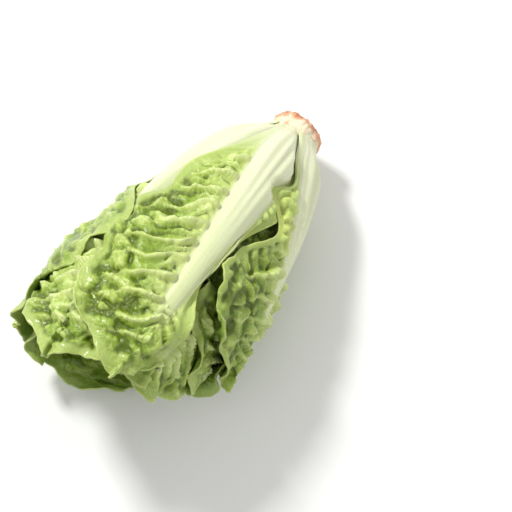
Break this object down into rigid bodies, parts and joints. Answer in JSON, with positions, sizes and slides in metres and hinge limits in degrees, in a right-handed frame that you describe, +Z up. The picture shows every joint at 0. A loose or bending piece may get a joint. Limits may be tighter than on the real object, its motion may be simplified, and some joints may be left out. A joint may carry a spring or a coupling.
{
  "type": "lettuce",
  "caption": "Head of mini romaine lettuce lying on its side: a cut stem carries overlapping long leaves, each with a pale raised rib and waved margins",
  "frame": {"origin": "on the surface that the head rests on, under the middle of its box", "axes": "+Z up, +X along the head towards the cut stem, leaf tips towards -X, millimetre sizes given in metres"},
  "size_m": [0.176, 0.1044, 0.096],
  "materials": {
    "stem": "matt, rough at the cut",
    "outer_leaf": "satin",
    "inner_leaf": "satin"
  },
  "bodies": {
    "root": {"stem": "stem", "leaf_01": "outer_leaf", "leaf_02": "outer_leaf", "leaf_03": "outer_leaf", "leaf_04": "outer_leaf", "leaf_05": "outer_leaf", "leaf_06": "outer_leaf", "leaf_07": "outer_leaf", "leaf_08": "outer_leaf", "leaf_09": "inner_leaf", "leaf_10": "inner_leaf", "leaf_11": "inner_leaf", "leaf_12": "inner_leaf", "leaf_13": "inner_leaf", "leaf_14": "inner_leaf", "leaf_15": "inner_leaf", "leaf_16": "inner_leaf", "leaf_17": "inner_leaf", "leaf_18": "inner_leaf"}
  },
  "joints": []
}
